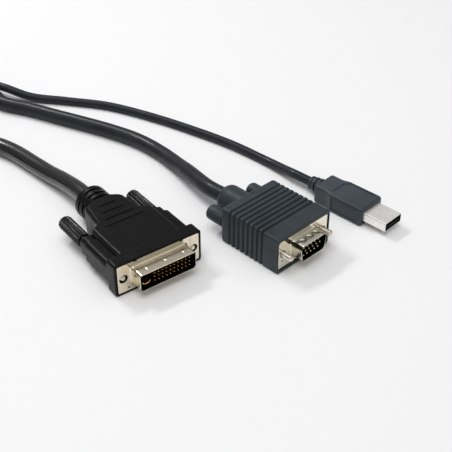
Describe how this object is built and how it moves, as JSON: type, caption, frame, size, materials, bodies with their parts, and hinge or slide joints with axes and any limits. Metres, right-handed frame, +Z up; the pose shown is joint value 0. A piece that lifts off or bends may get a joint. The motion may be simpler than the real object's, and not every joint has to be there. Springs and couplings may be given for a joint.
{
  "type": "projector video cable",
  "caption": "Projector cable: a thick trunk with a blade-and-pin digital plug at one end, split into a lighter video plug with thumbscrews and a USB plug.",
  "frame": {"origin": "middle of the three plugs' footprint, on the floor they lie on", "axes": "+X across the row of plugs, from the big plug to the USB plug; -Y the way the big plug is pushed in; +Z up"},
  "size_m": [0.2164, 0.2976, 0.0281],
  "materials": {
    "black_pvc": "satin moulded vinyl",
    "slate_pvc": "satin moulded vinyl, dark blue-grey",
    "trunk_jacket": "smooth vinyl jacket",
    "branch_jacket": "smooth vinyl jacket, dull",
    "tinned_steel": "tin plate, soft shine",
    "nickel_steel": "nickel plate",
    "gold_plate": "gold flash plate",
    "carrier_plastic": "black moulded thermoplastic",
    "premould_plastic": "natural moulded polyethylene"
  },
  "bodies": {
    "cable": {"big_plug_contact_carrier": "carrier_plastic", "big_plug_earth_blade": "gold_plate", "big_plug_inner_mould": "premould_plastic", "big_plug_overmould": "black_pvc", "big_plug_shell": "tinned_steel", "big_plug_shield_can": "tinned_steel", "cable_splitter": "black_pvc", "coil_tie": "black_pvc", "trunk_cable": "trunk_jacket", "trunk_cable_coil": "trunk_jacket", "trunk_cable_tail": "trunk_jacket", "usb_cable": "branch_jacket", "usb_plug_contact_1": "gold_plate", "usb_plug_contact_2": "gold_plate", "usb_plug_contact_3": "gold_plate", "usb_plug_contact_4": "gold_plate", "usb_plug_inner_mould": "premould_plastic", "usb_plug_overmould": "slate_pvc", "usb_plug_shell": "nickel_steel", "usb_plug_tongue": "carrier_plastic", "video_cable": "branch_jacket", "video_plug_contact_carrier": "carrier_plastic", "video_plug_inner_mould": "premould_plastic", "video_plug_overmould": "slate_pvc", "video_plug_pin_01": "gold_plate", "video_plug_pin_02": "gold_plate", "video_plug_pin_03": "gold_plate", "video_plug_pin_04": "gold_plate", "video_plug_pin_05": "gold_plate", "video_plug_pin_06": "gold_plate", "video_plug_pin_07": "gold_plate", "video_plug_pin_08": "gold_plate", "video_plug_pin_09": "gold_plate", "video_plug_pin_10": "gold_plate", "video_plug_pin_11": "gold_plate", "video_plug_pin_12": "gold_plate", "video_plug_pin_13": "gold_plate", "video_plug_pin_14": "gold_plate", "video_plug_pin_15": "gold_plate", "video_plug_rear_plate": "tinned_steel", "video_plug_shell": "tinned_steel"},
    "big_left_thumbscrew": {"big_plug_left_knob": "black_pvc", "big_plug_left_screw": "nickel_steel"},
    "big_right_thumbscrew": {"big_plug_right_knob": "black_pvc", "big_plug_right_screw": "nickel_steel"},
    "video_left_thumbscrew": {"video_plug_left_knob": "slate_pvc", "video_plug_left_screw": "nickel_steel"},
    "video_right_thumbscrew": {"video_plug_right_knob": "slate_pvc", "video_plug_right_screw": "nickel_steel"}
  },
  "joints": [
    {"name": "big_left_screw_turn", "type": "hinge", "parent": "cable", "child": "big_left_thumbscrew", "pos_m": [-0.0602, 0.0185, 0.008], "axis": [0, 1, 0], "continuous": true},
    {"name": "video_left_screw_turn", "type": "hinge", "parent": "cable", "child": "video_left_thumbscrew", "pos_m": [-0.00334, -0.00422, 0.0089], "axis": [-0.1305, 0.9914, 0], "continuous": true},
    {"name": "big_right_screw_turn", "type": "hinge", "parent": "cable", "child": "big_right_thumbscrew", "pos_m": [-0.0258, 0.0185, 0.008], "axis": [0, 1, 0], "continuous": true},
    {"name": "video_right_screw_turn", "type": "hinge", "parent": "cable", "child": "video_right_thumbscrew", "pos_m": [0.02144, -0.00096, 0.0089], "axis": [-0.1305, 0.9914, 0], "continuous": true}
  ]
}
